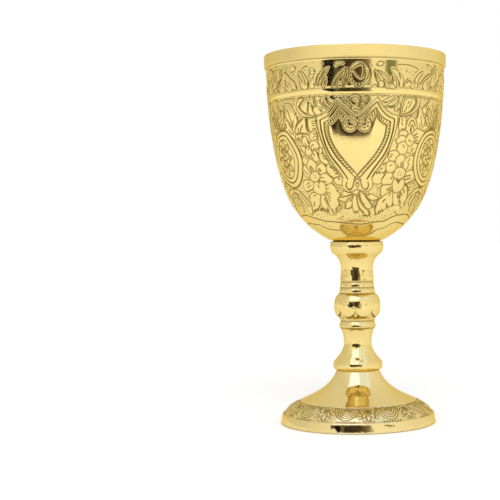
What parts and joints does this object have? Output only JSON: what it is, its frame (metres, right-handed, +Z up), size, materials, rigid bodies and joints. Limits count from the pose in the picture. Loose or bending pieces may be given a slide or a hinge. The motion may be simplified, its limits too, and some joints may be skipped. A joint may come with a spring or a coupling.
{
  "type": "wine goblet",
  "caption": "Stemmed brass drinking goblet: egg-shaped bowl with a chased wall, turned baluster stem with a lotus knop, and a flared round foot.",
  "frame": {"origin": "on the table, at the centre of the foot", "axes": "+Z up along the goblet's axis, -Y towards the front of the picture, where one heart cartouche of the bowl faces"},
  "size_m": [0.076, 0.076, 0.1524],
  "materials": {
    "bowl_brass": "polished, with darkened chased lines",
    "stem_brass": "cast, turned and polished",
    "foot_brass": "polished, with a chased band",
    "clamp_steel": "zinc plated"
  },
  "bodies": {
    "root": {"bowl": "bowl_brass", "stem": "stem_brass", "foot": "foot_brass", "tie_stud": "clamp_steel", "washer": "clamp_steel", "nut": "clamp_steel"}
  },
  "joints": []
}
